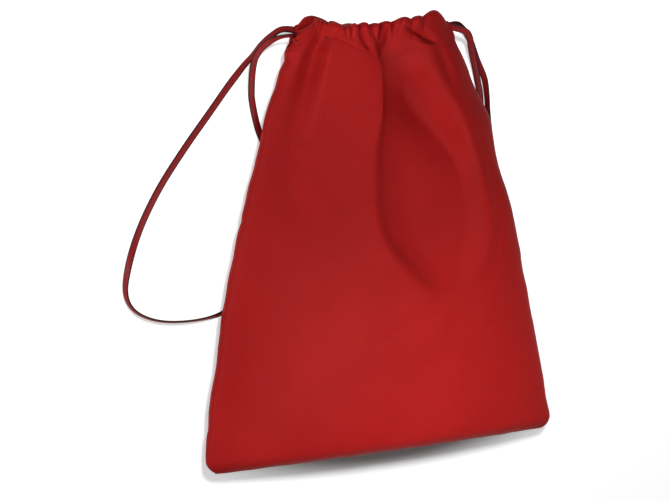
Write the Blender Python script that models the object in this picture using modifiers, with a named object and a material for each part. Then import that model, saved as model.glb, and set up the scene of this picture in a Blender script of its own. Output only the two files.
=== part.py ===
"""Flat drawstring pouch of satin cloth, lying on its back.

Two cloth panels are sewn together along the sides and the bottom. Each panel's top edge is folded over
into a casing, and two flat laces gather the casings: one has its loop on the left, one on the right.
X runs across the pouch, Y from the bottom seam to the mouth, Z up from the surface that it lies on.
"""
import math

import bpy
import bmesh
from mathutils import Vector

FRONT = 1
BACK = -1
LEFT = -1
RIGHT = 1

# Pouch
BOTTOM_WIDTH = 0.230
LENGTH = 0.257
CORNER_RADIUS = 0.008
SEAM_HEIGHT = 0.009
FRONT_FULLNESS = 0.0185
FULL_FROM_BOTTOM = 0.045
WALL = 0.001
FIT = 0.0003
SEAM_TURN = 0.0012
SEAM_CORNER_TURN = (10, 20)

# How the sides draw in from the bottom to the neck; the right side bulges a little
SIDE_TAPER = {LEFT: 1.60, RIGHT: 1.45}
BULGE = 0.06
BULGE_AT = 0.78
BULGE_SPREAD = 0.07

# Roundness of the front across the pouch, and where it starts to flatten towards the neck
CROWN = 2.2
CROWN_ROOT = 0.6
FLATTEN_FROM = 0.35
FLATTEN_SPAN = 0.60

# Neck, drawn in by the laces
NECK_WIDTH = 0.098
NECK_SHIFT = -0.010
FRONT_NECK_RISE = 0.0130
BACK_NECK_LIFT = 0.0020
NECK_END_RISE = 0.0055
NECK_BLEND = 0.045
SIDE_BLEND = 0.030
SIDE_OPENING = 0.012
BACK_LIFT_FROM = 0.55
BACK_LIFT_SPAN = 0.30

# Casing
CASING_DEPTH = 0.005
CASING_HEIGHT = 0.022
CASING_END_LOSS = 0.0062
TOP_END_RISE = 0.0045
TOP_DIP = 0.0025
FRONT_LUMP = 0.0030
FRONT_LUMP_AT = 0.62
FRONT_LUMP_SPREAD = 0.25
BACK_LUMP = 0.0015
STITCH_GROOVE = 0.0006
GROOVE_SHARE = 0.04
CASING_GROOVE_SHARE = 0.30
FLAP_CLOSES_FROM = 0.6

# Gathers: width and height of each pucker as a share of the others
PUCKERS = (
    (1.55, 0.45), (1.15, 0.80), (0.85, 1.00), (0.75, 0.75), (0.90, 1.05), (0.80, 0.85),
    (0.70, 0.95), (0.85, 0.75), (0.75, 1.05), (0.90, 0.80), (1.20, 0.90), (1.60, 0.40),
)
PUCKER_HEIGHT = 0.0017
PUCKER_REACH = 0.085
PUCKER_AT_STITCHES = 0.6
PUCKER_FADE = 2.5
RUFFLE = 0.0010
COLUMNS_PER_PUCKER = 4

# Flat part of the back that carries the pouch
REST_SHARE = 0.35
REST_FROM_BOTTOM = 0.022

# Laces
LACE_WIDTH = 0.0040
LACE_THICKNESS = 0.0014
LACE_FROM_TOP = 0.0047
LACE_SPACING = 0.0046
LACE_STEP = 0.020
LACE_BEND_STEP = 0.40
LACE_TURN = 0.0046
STEEP = 0.5
CASING_STATIONS = (0.45, 0.75, 0.9, 1.0)
LACE_END_GAP = 0.03

# Big folds of the front, lofted from the neck down: each section is its distance from the bottom, then
# x and depth at the left flap, left valley, left ridge, pleat lip, pleat foot, pocket and right ridge
FOLD_SECTIONS = (
    (0.250, (-0.058, 0.000), (-0.051, 0.003), (-0.046, 0.000), (-0.012, 0.000), (-0.009, 0.002),
     (0.002, 0.001), (0.018, 0.000)),
    (0.232, (-0.062, 0.000), (-0.055, 0.007), (-0.048, 0.000), (-0.011, 0.000), (-0.006, 0.006),
     (0.004, 0.006), (0.030, -0.001)),
    (0.215, (-0.067, 0.000), (-0.060, 0.005), (-0.049, 0.000), (-0.011, 0.000), (-0.005, 0.007),
     (0.011, 0.010), (0.040, -0.002)),
    (0.198, (-0.074, 0.000), (-0.064, 0.003), (-0.052, 0.000), (-0.013, 0.000), (-0.005, 0.006),
     (0.022, 0.009), (0.049, -0.002)),
    (0.175, (-0.081, 0.000), (-0.066, 0.003), (-0.050, 0.000), (-0.017, 0.000), (-0.006, 0.005),
     (0.034, 0.006), (0.058, -0.001)),
    (0.145, (-0.086, 0.000), (-0.064, 0.001), (-0.045, 0.000), (-0.016, 0.000), (-0.004, 0.005),
     (0.036, 0.005), (0.064, 0.000)),
    (0.121, (-0.090, 0.000), (-0.064, 0.000), (-0.043, 0.000), (-0.005, 0.000), (0.008, 0.005),
     (0.034, 0.005), (0.063, 0.000)),
    (0.098, (-0.090, 0.000), (-0.064, 0.000), (-0.040, 0.000), (0.016, 0.000), (0.026, 0.000),
     (0.032, 0.000), (0.050, 0.000)),
)

# Colours
CLOTH_RED = (0.38, 0.012, 0.014, 1.0)
LACE_RED = (0.33, 0.012, 0.013, 1.0)

# Rows of the body, from the corner to the casing's stitches; closer where the front has folds
BODY_SHARES = {
    FRONT: (0.07, 0.16, 0.26, 0.36, 0.43, 0.50, 0.58, 0.66, 0.74, 0.82, 0.91, 1.00),
    BACK: (0.16, 0.36, 0.58, 0.74, 0.91, 1.00),
}
CORNER_ROWS = 3
CASING_ROWS = 3
FOLD_ROWS = 4
FLAP_ROWS = 3
COLUMNS = COLUMNS_PER_PUCKER * len(PUCKERS)


def smoothstep(value):
    """Goes from 0 to 1 with soft ends."""
    value = min(max(value, 0.0), 1.0)
    return value * value * (3 - 2 * value)


def mix(a, b, share):
    return a + (b - a) * share


def side_reach(side, y):
    """Distance from the middle line to the left or right edge."""
    along = min(max(y / LENGTH, 0.0), 1.0)
    neck = NECK_WIDTH / 2 + side * NECK_SHIFT
    taper = along ** SIDE_TAPER[side]
    if side == RIGHT:
        taper -= BULGE * math.exp(-((along - BULGE_AT) / BULGE_SPREAD) ** 2)
    reach = mix(BOTTOM_WIDTH / 2, neck, taper)
    if y < CORNER_RADIUS:
        reach -= CORNER_RADIUS - math.sqrt(CORNER_RADIUS ** 2 - (CORNER_RADIUS - y) ** 2)
    return reach


def place_across(u, y):
    """X of a point, with u from -1 at the left edge to 1 at the right."""
    left = -side_reach(LEFT, y)
    right = side_reach(RIGHT, y)
    return mix(left, right, (u + 1) / 2)


def top_edge(panel, u):
    """Y of the fold along the top of a casing, without its ruffles."""
    ends = TOP_END_RISE * u * u - TOP_DIP
    if panel == FRONT:
        return LENGTH + ends + FRONT_LUMP * math.exp(-((u - FRONT_LUMP_AT) / FRONT_LUMP_SPREAD) ** 2)
    return LENGTH + ends + BACK_LUMP * smoothstep(-u)


def stitch_line(panel, u):
    """Y of the line that closes the casing, highest towards the ends."""
    return top_edge(panel, u) - CASING_HEIGHT + CASING_END_LOSS * u * u


def neck_rise(panel, u):
    """Distance of a casing's outer face from the seam plane."""
    if panel == FRONT:
        middle = FRONT_NECK_RISE
    else:
        middle = SEAM_HEIGHT - BACK_NECK_LIFT
    return mix(NECK_END_RISE, middle, 1 - u ** 4)


def smooth_between(places, values, place):
    """Value on the smooth line through known ones, which never swings past them."""
    slopes = [
        (after - before) / (end - start)
        for start, end, before, after in zip(places, places[1:], values, values[1:])
    ]
    leaves = [0.0]
    for before, after in zip(slopes, slopes[1:]):
        leaves.append(2 * before * after / (before + after) if before * after > 0 else 0.0)
    leaves.append(0.0)
    index = 0
    while index < len(places) - 2 and place > places[index + 1]:
        index += 1
    span = places[index + 1] - places[index]
    t = min(max((place - places[index]) / span, 0.0), 1.0)
    level = mix(values[index], values[index + 1], t * t * (3 - 2 * t))
    leave = leaves[index] * (t ** 3 - 2 * t ** 2 + t)
    arrive = leaves[index + 1] * (t ** 3 - t ** 2)
    return level + span * (leave + arrive)


def fold_depth(x, y):
    """How far the big folds push the front in at a point."""
    sections = FOLD_SECTIONS[::-1]
    levels = [section[0] for section in sections]
    places = [-side_reach(LEFT, y)]
    depths = [0.0]
    for line in range(1, len(sections[0])):
        place = smooth_between(levels, [section[line][0] for section in sections], y)
        places.append(max(place, places[-1] + FIT))
        depths.append(smooth_between(levels, [section[line][1] for section in sections], y))
    places.append(max(side_reach(RIGHT, y), places[-1] + FIT))
    depths.append(0.0)
    return smooth_between(places, depths, x)


def body_rise(panel, u, y):
    """Distance of the cloth from the seam plane below the casing."""
    low = FIT / 2 + SEAM_TURN
    if panel == FRONT:
        near_bottom = max(1 - y / FULL_FROM_BOTTOM, 0.0)
        rise = FRONT_FULLNESS * math.sqrt(1 - near_bottom ** 2)
        flatten = smoothstep((y / LENGTH - FLATTEN_FROM) / FLATTEN_SPAN)
        rise *= mix(1.0, FRONT_NECK_RISE / FRONT_FULLNESS, flatten)
        return low + rise * (1 - abs(u) ** CROWN) ** CROWN_ROOT
    lift = BACK_NECK_LIFT * smoothstep((y / LENGTH - BACK_LIFT_FROM) / BACK_LIFT_SPAN)
    across = max((abs(u) - REST_SHARE) / (1 - REST_SHARE), 0.0) ** 2
    along = max(1 - y / REST_FROM_BOTTOM, 0.0) ** 2
    return low + (SEAM_HEIGHT - low - lift) * (1 - across) * (1 - along)


def rise_from_seam(panel, u, y):
    """Distance of a panel's outer face from the seam plane, without puckers."""
    line = stitch_line(panel, u)
    blend = mix(NECK_BLEND, SIDE_BLEND, abs(u) ** 6)
    neck = smoothstep((y - line + blend) / blend)
    rise = mix(body_rise(panel, u, y), neck_rise(panel, u), neck)
    if panel == FRONT:
        edge = 1 - abs(u) ** 4
        casing = smoothstep((y - line + SIDE_OPENING) / SIDE_OPENING)
        rise -= fold_depth(place_across(u, y), y) * edge * (1 - casing)
    return rise


def pucker_edges():
    """The puckers' edges as values of u from -1 to 1."""
    total = sum(width for width, height in PUCKERS)
    edges = [-1.0]
    for width, height in PUCKERS:
        edges.append(edges[-1] + 2 * width / total)
    return edges


def column_place(column, along):
    """u of a grid column: even at the bottom, following the puckers at the neck."""
    even = -1 + 2 * column / COLUMNS
    edges = pucker_edges()
    index = min(column // COLUMNS_PER_PUCKER, len(PUCKERS) - 1)
    share = column / COLUMNS_PER_PUCKER - index
    gathered = mix(edges[index], edges[index + 1], share)
    return mix(even, gathered, smoothstep(along))


def pucker_out(column):
    """Height of the gathers at a grid column, from 0 in a valley to about 1 on a crest."""
    index = min(column // COLUMNS_PER_PUCKER, len(PUCKERS) - 1)
    share = column / COLUMNS_PER_PUCKER - index
    return PUCKERS[index][1] * (1 - math.cos(2 * math.pi * share)) / 2


def cloth_rows(panel):
    """The stations along the cloth: stretch and share of that stretch."""
    rows = [("turn", 0.0), ("turn", 1.0)]
    rows += [("corner", (row + 1) / CORNER_ROWS) for row in range(CORNER_ROWS)]
    rows += [("body", share) for share in BODY_SHARES[panel]]
    rows += [("casing", (row + 1) / CASING_ROWS) for row in range(CASING_ROWS)]
    rows += [("fold", (row + 1) / FOLD_ROWS) for row in range(FOLD_ROWS)]
    rows += [("flap", (row + 1) / FLAP_ROWS) for row in range(FLAP_ROWS)]
    return rows


def cloth_point(panel, column, stretch, share):
    """One point of a panel's outer face, on its way from the bottom seam to the end of the flap."""
    radius = CASING_DEPTH / 2
    flat_rise = 0.0
    inward = 0.0
    ruffle = 0.0
    pucker = 0.0
    u = column_place(column, 1.0 if stretch in ("casing", "fold", "flap") else share)
    if stretch in ("turn", "corner"):
        u = column_place(column, 0.0)
    line = stitch_line(panel, u)
    shoulder = top_edge(panel, u) - radius
    if stretch == "turn":
        y = 0.0
        flat_rise = FIT / 2 + SEAM_TURN * share
    elif stretch == "corner":
        y = CORNER_RADIUS * (1 - math.cos(share * math.pi / 2))
    elif stretch == "body":
        y = mix(CORNER_RADIUS, line, share)
        inward = STITCH_GROOVE * smoothstep((share - 1 + GROOVE_SHARE) / GROOVE_SHARE)
        pucker = PUCKER_AT_STITCHES * max(1 - (line - y) / PUCKER_REACH, 0.0) ** PUCKER_FADE
    elif stretch == "casing":
        y = mix(line, shoulder, share)
        pucker = mix(PUCKER_AT_STITCHES, 1.0, share)
        inward = STITCH_GROOVE * (1 - smoothstep(share / CASING_GROOVE_SHARE))
    elif stretch == "fold":
        turn = share * math.pi
        y = shoulder + radius * math.sin(turn)
        inward = radius * (1 - math.cos(turn))
        ruffle = RUFFLE * math.sin(turn)
        pucker = math.cos(turn)
    else:
        y = mix(shoulder, line, share)
        closed = 2 * WALL + FIT + STITCH_GROOVE * 2
        closing = smoothstep((share - FLAP_CLOSES_FROM) / (1 - FLAP_CLOSES_FROM))
        inward = mix(CASING_DEPTH, closed, closing)
        pucker = -mix(PUCKER_AT_STITCHES, 0.0, share)
    out = pucker_out(column)
    y += ruffle * out
    rise = flat_rise
    if stretch != "turn":
        rise = rise_from_seam(panel, u, min(y, shoulder))
    rise += PUCKER_HEIGHT * pucker * out - inward
    return Vector((place_across(u, y), y - LENGTH / 2, SEAM_HEIGHT + panel * rise))


def side_strip(panel, point, side, row_y, line):
    """The last narrow strip of cloth: turned to the seam, or straight on at the open neck."""
    neck = smoothstep((row_y - line) / SIDE_OPENING + 1)
    out = Vector((side * SEAM_TURN * neck, 0.0, -panel * SEAM_TURN * (1 - neck)))
    return point + out


def corner_rim(panel, side, share):
    """A point of the seam at a bottom corner, where the turned strips of side and bottom meet."""
    turn = math.radians(mix(*SEAM_CORNER_TURN, share))
    x = side * (side_reach(side, 0.0) + CORNER_RADIUS * math.sin(turn))
    y = CORNER_RADIUS * (1 - math.cos(turn)) - LENGTH / 2
    return Vector((x, y, SEAM_HEIGHT + panel * FIT * 1.8))


def make_material(name, colour, roughness):
    material = bpy.data.materials.new(name)
    material.use_nodes = True
    shader = material.node_tree.nodes["Principled BSDF"]
    shader.inputs["Base Color"].default_value = colour
    shader.inputs["Roughness"].default_value = roughness
    shader.inputs["Metallic"].default_value = 0.0
    return material


def make_panel(name, panel, collection, material):
    """A cloth panel: a grid bent along the cloth's way, given its thickness by Solidify."""
    rows = cloth_rows(panel)
    across = COLUMNS + 2
    mesh = bmesh.new()
    bmesh.ops.create_grid(mesh, x_segments=across, y_segments=len(rows) - 1, size=1.0)
    for vertex in mesh.verts:
        place = round((vertex.co.x + 1) / 2 * across)
        row = round((vertex.co.y + 1) / 2 * (len(rows) - 1))
        stretch, share = rows[row]
        column = min(max(place - 1, 0), COLUMNS)
        point = cloth_point(panel, column, stretch, share)
        if place in (0, across) and stretch != "turn":
            side = LEFT if place == 0 else RIGHT
            point = side_strip(panel, point, side, point.y + LENGTH / 2, stitch_line(panel, side))
        elif place in (0, across):
            point = corner_rim(panel, LEFT if place == 0 else RIGHT, share)
        vertex.co = point
    if panel == BACK:
        bmesh.ops.reverse_faces(mesh, faces=mesh.faces)
    data = bpy.data.meshes.new(name)
    mesh.to_mesh(data)
    mesh.free()
    data.shade_smooth()
    item = bpy.data.objects.new(name, data)
    collection.objects.link(item)
    data.materials.append(material)
    solidify = item.modifiers.new("Cloth", "SOLIDIFY")
    solidify.thickness = WALL
    solidify.offset = -1.0
    solidify.use_even_offset = False
    return item


def lace_in_casing(panel, u, level):
    """Centre of a lace in a casing; level 0 is nearer the top fold."""
    y = top_edge(panel, u) - LACE_FROM_TOP - level * LACE_SPACING
    rise = neck_rise(panel, u) - CASING_DEPTH / 2
    return Vector((place_across(u, y), y - LENGTH / 2, SEAM_HEIGHT + panel * rise))


LACE_FLAT = LACE_THICKNESS / 2 + 0.0001
# Free loops, from the back casing's end round to the front casing's end: x, distance from the bottom, height
LEFT_LOOP = (
    (-0.0650, 0.2553, 0.0057), (-0.0708, 0.2531, 0.0044), (-0.0757, 0.2478, 0.0024),
    (-0.0815, 0.2405, 0.0010), (-0.0890, 0.2313, LACE_FLAT), (-0.1059, 0.2096, LACE_FLAT),
    (-0.1227, 0.1880, LACE_FLAT), (-0.1377, 0.1665, LACE_FLAT), (-0.1492, 0.1448, LACE_FLAT),
    (-0.1566, 0.1239, LACE_FLAT), (-0.1584, 0.1087, LACE_FLAT), (-0.1527, 0.0984, LACE_FLAT),
    (-0.1388, 0.0919, LACE_FLAT), (-0.1193, 0.0903, LACE_FLAT), (-0.1017, 0.0930, LACE_FLAT),
    (-0.0900, 0.1010, LACE_FLAT), (-0.0815, 0.1170, LACE_FLAT), (-0.0760, 0.1400, LACE_FLAT),
    (-0.0715, 0.1640, LACE_FLAT), (-0.0730, 0.1830, LACE_FLAT), (-0.0785, 0.1985, LACE_FLAT),
    (-0.0818, 0.2143, 0.0009), (-0.0822, 0.2270, 0.0023), (-0.0812, 0.2356, 0.0032),
    (-0.0793, 0.2412, 0.0048), (-0.0757, 0.2464, 0.0070), (-0.0712, 0.2524, 0.0096),
    (-0.0650, 0.2546, 0.0116),
)
RIGHT_LOOP = (
    (0.0450, 0.2504, 0.0058), (0.0505, 0.2489, 0.0044), (0.0552, 0.2446, 0.0024),
    (0.0590, 0.2388, 0.0010), (0.0620, 0.2328, LACE_FLAT), (0.0650, 0.2268, LACE_FLAT),
    (0.0678, 0.2207, LACE_FLAT), (0.0699, 0.2116, LACE_FLAT), (0.0715, 0.2025, LACE_FLAT),
    (0.0737, 0.1920, LACE_FLAT), (0.0758, 0.1810, LACE_FLAT), (0.0792, 0.1620, LACE_FLAT),
    (0.0815, 0.1400, LACE_FLAT), (0.0850, 0.1120, LACE_FLAT), (0.0890, 0.0840, LACE_FLAT),
    (0.0920, 0.0580, LACE_FLAT), (0.0905, 0.0440, LACE_FLAT), (0.0840, 0.0375, LACE_FLAT),
    (0.0770, 0.0440, LACE_FLAT), (0.0750, 0.0580, LACE_FLAT), (0.0730, 0.0860, LACE_FLAT),
    (0.0700, 0.1180, LACE_FLAT), (0.0670, 0.1500, LACE_FLAT), (0.0660, 0.1780, LACE_FLAT),
    (0.0668, 0.1960, LACE_FLAT), (0.0655, 0.2065, LACE_FLAT), (0.0635, 0.2136, 0.0010),
    (0.0612, 0.2209, 0.0017), (0.0592, 0.2281, 0.0027), (0.0576, 0.2341, 0.0038),
    (0.0554, 0.2407, 0.0058), (0.0523, 0.2466, 0.0090), (0.0472, 0.2498, 0.0117),
)


def lace_route(loop, loop_side, level):
    """The lace's whole way: out of one casing, round its loop, and through both casings."""
    turn_side = -loop_side
    out_shares = (LACE_END_GAP, *CASING_STATIONS)
    route = [lace_in_casing(BACK, loop_side * share, level) for share in out_shares]
    route += [Vector((x, y - LENGTH / 2, z)) for x, y, z in loop]
    route += [lace_in_casing(FRONT, loop_side * share, level) for share in (*reversed(CASING_STATIONS), 0.0)]
    route += [lace_in_casing(FRONT, turn_side * share, level) for share in CASING_STATIONS]
    front_end = lace_in_casing(FRONT, turn_side, level)
    back_end = lace_in_casing(BACK, turn_side, level)
    out = Vector((turn_side, 0.0, 0.0))
    route.append(front_end + out * LACE_TURN / 2)
    route.append((front_end + back_end) / 2 + out * LACE_TURN)
    route.append(back_end + out * LACE_TURN / 2)
    route += [lace_in_casing(BACK, turn_side * share, level) for share in reversed(out_shares)]
    return route


def smooth_points(route):
    """Points along a smooth curve through the route, closer together in its bends."""
    points = []
    ends = [route[0] * 2 - route[1]] + route + [route[-1] * 2 - route[-2]]
    for before, start, end, after in zip(ends, ends[1:], ends[2:], ends[3:]):
        bend = (end - before).angle(after - start)
        pieces = max(1, round((end - start).length / LACE_STEP + bend / LACE_BEND_STEP))
        for piece in range(pieces):
            t = piece / pieces
            leave = (end - before) / 2
            arrive = (after - start) / 2
            point = start * (2 * t ** 3 - 3 * t ** 2 + 1) + leave * (t ** 3 - 2 * t ** 2 + t)
            point += end * (3 * t ** 2 - 2 * t ** 3) + arrive * (t ** 3 - t ** 2)
            points.append(point)
    points.append(route[-1])
    return points


def lace_tilts(points):
    """The turn at each point that lays the lace flat, with its broad side along Y where it stands up."""
    tilts = []
    broad = Vector((0.0, 1.0, 0.0))
    for index, point in enumerate(points):
        before = points[max(index - 1, 0)]
        after = points[min(index + 1, len(points) - 1)]
        tangent = ((after - point).normalized() + (point - before).normalized()).normalized()
        level = tangent.cross(Vector((0.0, 0.0, 1.0))).normalized()
        wanted = level
        if abs(tangent.z) > STEEP:
            wanted = (Vector((0.0, 1.0, 0.0)) - tangent * tangent.y).normalized()
        if wanted.dot(broad) < 0:
            wanted = -wanted
        tilts.append(math.atan2(level.cross(wanted).dot(tangent), level.dot(wanted)))
        broad = wanted
    return tilts


def make_lace(name, loop, loop_side, level, collection, material):
    """A flat lace as a curve with a wide, round-edged section."""
    points = smooth_points(lace_route(loop, loop_side, level))
    curve = bpy.data.curves.new(name, "CURVE")
    curve.dimensions = "3D"
    curve.twist_mode = "Z_UP"
    curve.bevel_depth = LACE_THICKNESS / 2
    curve.extrude = (LACE_WIDTH - LACE_THICKNESS) / 2
    curve.bevel_resolution = 1
    curve.use_fill_caps = True
    spline = curve.splines.new("POLY")
    spline.points.add(len(points) - 1)
    for spot, point, tilt in zip(spline.points, points, lace_tilts(points)):
        spot.co = (*point, 1.0)
        spot.tilt = tilt + math.pi / 2
    curve.materials.append(material)
    item = bpy.data.objects.new(name, curve)
    collection.objects.link(item)
    return item


def build():
    for item in list(bpy.data.objects):
        bpy.data.objects.remove(item, do_unlink=True)
    collection = bpy.data.collections.new("pochette")
    bpy.context.scene.collection.children.link(collection)
    make_panel("front_panel", FRONT, collection, make_material("front_cloth", CLOTH_RED, 0.45))
    make_panel("back_panel", BACK, collection, make_material("back_cloth", CLOTH_RED, 0.45))
    make_lace("left_drawcord", LEFT_LOOP, LEFT, 0, collection, make_material("left_lace", LACE_RED, 0.5))
    make_lace("right_drawcord", RIGHT_LOOP, RIGHT, 1, collection, make_material("right_lace", LACE_RED, 0.5))


build()
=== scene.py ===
"""The drawstring pouch, dressed: satin panels, laces, stitching, light and camera.

Lengths are metres in the row frame: X across, Y from the bottom seam to the mouth, Z up.
Many places are given as (x, distance from the bottom seam), and shift() turns them into the frame.
A panel's u runs from -1 at its left edge to 1 at its right edge.
"""
import math

import bmesh
import bpy
import numpy as np
from mathutils import Matrix, Vector


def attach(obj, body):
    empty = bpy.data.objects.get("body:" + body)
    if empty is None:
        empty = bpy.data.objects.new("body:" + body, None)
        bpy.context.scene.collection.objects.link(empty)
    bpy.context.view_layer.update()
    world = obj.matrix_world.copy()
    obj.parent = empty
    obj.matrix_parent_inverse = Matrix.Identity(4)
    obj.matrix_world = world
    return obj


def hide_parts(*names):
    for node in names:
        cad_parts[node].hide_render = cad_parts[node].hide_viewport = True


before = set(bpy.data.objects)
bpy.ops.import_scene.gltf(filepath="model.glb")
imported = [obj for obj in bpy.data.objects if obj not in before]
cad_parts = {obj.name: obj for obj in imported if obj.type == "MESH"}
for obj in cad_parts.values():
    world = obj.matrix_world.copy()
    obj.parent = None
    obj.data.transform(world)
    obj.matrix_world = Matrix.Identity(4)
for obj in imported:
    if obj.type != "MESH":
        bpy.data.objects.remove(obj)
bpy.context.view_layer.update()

FRONT = 1
BACK = -1
LEFT = -1
RIGHT = 1

# Pouch, as in the CAD model
BOTTOM_WIDTH = 0.230
LENGTH = 0.257
CORNER_RADIUS = 0.008
SEAM_HEIGHT = 0.009
SEAM_TURN = 0.0012
FRONT_FULLNESS = 0.0185
FULL_FROM_BOTTOM = 0.045
SIDE_TAPER = {LEFT: 1.60, RIGHT: 1.45}
BULGE = {LEFT: 0.0, RIGHT: 0.06}
BULGE_AT = 0.78
BULGE_SPREAD = 0.07
CROWN = 2.2
CROWN_ROOT = 0.6
FLATTEN_FROM = 0.35
FLATTEN_SPAN = 0.60
NECK_WIDTH = 0.098
NECK_SHIFT = -0.010
FRONT_NECK_RISE = 0.0130
BACK_NECK_LIFT = 0.0020
BACK_LIFT_FROM = 0.55
BACK_LIFT_SPAN = 0.30
NECK_BLEND = 0.045
CASING_DEPTH = 0.005
CASING_HEIGHT = 0.022
TOP_END_RISE = 0.0045
TOP_DIP = 0.0025
BACK_LUMP = 0.0015
FLAP_CLOSES_FROM = 0.6
REST_SHARE = 0.35
REST_FROM_BOTTOM = 0.022
LACE_WIDTH = 0.0040

# Finer than the CAD model
CLOTH = 0.0006
SEAM_GAP = 0.00008
SEAM_CORNER_TURN = (10, 22)
BACK_CLEARANCE = 0.0002
ROLL_HEIGHT = 0.011
ROLL_SHARE = 0.5
NECK_END_RISE = 0.0040
SIDE_BLEND = 0.009
SIDE_CLOSED = 0.2500
SIDE_OPENS_OVER = 0.008
CASING_END_DEPTH = 0.0038
CASING_END_LOSS = 0.007
FLAP_CLEARANCE = 0.0006
LACE_THICKNESS = 0.0013
LACE_TURN = 0.0030
LACE_TURN_SHARE = 0.92

# How far the drawn casing pulls each side in, from which distance to the bottom seam, and over what height
CASING_PULL = {LEFT: (0.0034, 0.243, 0.010), RIGHT: (0.0036, 0.228, 0.024)}

# Mesh
COLUMNS = 220
CORNER_ROWS = 10
BODY_ROWS = 130
FINE_ROWS = 20
FINE_FROM = 0.955
CASING_ROWS = 26
FOLD_ROWS = 12
FLAP_ROWS = 16
TURN_SHARES = (0.0, 0.35, 0.7, 1.0)
STRIP_SHARES = (0.4, 1.0)
LACE_STEP = 0.0012
LACE_SIDES = 20
LACE_ROUND = (0.55, 0.75)
LACE_UV_SCALE = 10
CURVE_PIECES = 24

# Camera: x, distance from the bottom seam, height
CAMERA_PLACE = (-0.3901, 0.2938, 0.8084)
CAMERA_TURN = math.radians(24.0)
CAMERA_DIP = math.radians(10.87)
LENS = 82.2

# Satin
CLOTH_RED = (0.360, 0.0116, 0.0110)
CLOTH_DEEP = (0.330, 0.0096, 0.0094)
CLOTH_PATCHES = 26.0
CLOTH_GRAIN = 900.0
CLOTH_IOR = 1.12
CLOTH_GLOSS = (0.12, 0.42)
CLOTH_BUMP = (0.35, 0.00006)
CLOTH_SHEEN = (0.95, 0.30, 0.26, 1.0)
CLOTH_SHEEN_WEIGHT = 0.008
CLOTH_SHEEN_ROUGHNESS = 0.45
THREAD_DARK = (0.86, 0.84, 0.84)
THREAD_LIGHT = (1.06, 1.05, 1.05)
TWILL_PITCH = 0.00055
TWILL_SLANT = 0.55
CROSSING_SHARE = 0.8
# Painted shade: the cloth's base colour is darkened to this share at the bottom seam and fades back over this
# height
SEAM_PAINTED_SHADE = 0.55
SEAM_PAINTED_SHADE_HEIGHT = 0.010

# Lace
LACE_RED = (0.265, 0.0085, 0.0100)
LACE_DEEP = tuple(0.82 * part for part in LACE_RED)
LACE_EDGE = (0.022, 0.0018, 0.0024)
LACE_EDGE_FROM = 0.34
LACE_EDGE_RISE = 14.0
LACE_GRAIN = 1400.0
LACE_BLOTCHES = 160.0
LACE_IOR = 1.25
LACE_GLOSS = (0.2, 0.38)
LACE_BUMP = (0.3, 0.00008)

# Floor and world: how much the floor's own white adds, apart from an ellipse under the bottom edge where it adds
# less (its centre, half sizes and where it starts to rise), so the floor there shows the cast shadow with painted
# shade around it; and how much more far away
FLOOR_HALF = 3.0
FLOOR_PALE = (0.90, 0.90, 0.90, 1.0)
FLOOR_LIFT = (0.0, 0.55)
FLOOR_FAR_LIFT = 0.40
FLOOR_FAR = (0.3, 0.9)
SHADOW_CENTRE = (0.005, -LENGTH / 2, 0.0)
SHADOW_HALF = (0.125, 0.020, 1.0)
SHADOW_RISES_FROM = 0.35
WHITE = (1.0, 1.0, 1.0, 1.0)
WORLD_LEVEL = 0.12

# Name, place, target, size, watts, spread in degrees, and whether the floor is the only thing that the light
# reaches (INCLUDE) or the only thing that it leaves out (EXCLUDE)
LIGHTS = (
    ("key", (0.02, -0.14, 0.43), (0.01, -0.05, 0.0), 0.16, 1.05, 180.0, "EXCLUDE"),
    ("side", (-0.75, 0.02, 0.36), (0.0, 0.0, 0.0), 0.30, 3.0, 180.0, "EXCLUDE"),
    ("top", (-0.14, 0.10, 0.20), (-0.005, 0.122, 0.01), 0.05, 0.015, 50.0, "EXCLUDE"),
    ("low", (-0.05, 0.35, 0.75), (0.03, -0.13, 0.0), 0.14, 0.070, 22.0, "EXCLUDE"),
    ("floor", (-0.12, 0.44, 0.68), (0.0, -0.05, 0.0), 0.14, 5.0, 180.0, "INCLUDE"),
)

# Gathers of the mouth: each lies between two neighbouring places along the top, x
GATHER_EDGES = (
    -0.061, -0.049, -0.0474, -0.045, -0.042, -0.0327, -0.0293, -0.0245, -0.0173, -0.0106,
    -0.003, 0.0088, 0.0165, 0.04,
)
GATHER_HEIGHT = 0.0030
GATHER_FADE = 2.6
GATHER_ROUND = 0.55
RUFFLE = 0.0020
RUFFLE_MIDDLE = 0.6

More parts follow.
